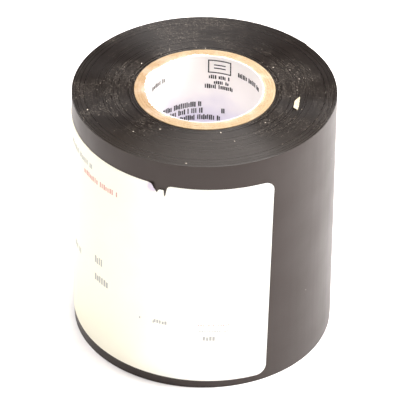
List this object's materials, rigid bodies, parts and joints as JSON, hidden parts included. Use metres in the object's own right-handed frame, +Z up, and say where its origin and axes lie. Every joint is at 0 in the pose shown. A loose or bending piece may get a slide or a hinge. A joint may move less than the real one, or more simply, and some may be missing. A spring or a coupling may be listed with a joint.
{
  "type": "electrical tape roll",
  "caption": "Roll of wide black electrical tape on a wound paper core with a printed liner, a torn paper label round its side, and a free end that lifts to start the tape.",
  "frame": {"origin": "where the axis of the core meets the bottom face of the tape, with the roll standing on end", "axes": "+Z up along the core; -Y towards the front of the label, whose front edge is to the right of it; +X to the right"},
  "size_m": [0.0739, 0.0741, 0.0766],
  "materials": {
    "liner_paper": "coated white paper with small grey print",
    "core_board": "raw kraft board, cut edge showing",
    "tape_pvc": "black plasticised PVC, satin face and grooved roll ends",
    "label_paper": "matt white label paper, faint print"
  },
  "bodies": {
    "roll": {"core_liner": "liner_paper", "core_ply_1": "core_board", "core_ply_2": "core_board", "core_ply_3": "core_board", "core_ply_4": "core_board", "tape_winding": "tape_pvc", "tape_outer_wrap": "tape_pvc", "paper_label": "label_paper", "label_scrap": "label_paper"},
    "tape_end": {"tape_end": "tape_pvc"}
  },
  "joints": [
    {"name": "peel", "type": "hinge", "parent": "roll", "child": "tape_end", "pos_m": [0.01644, 0.03315, 0.0381], "axis": [0, 0, 1], "range_deg": [0, 110]}
  ]
}
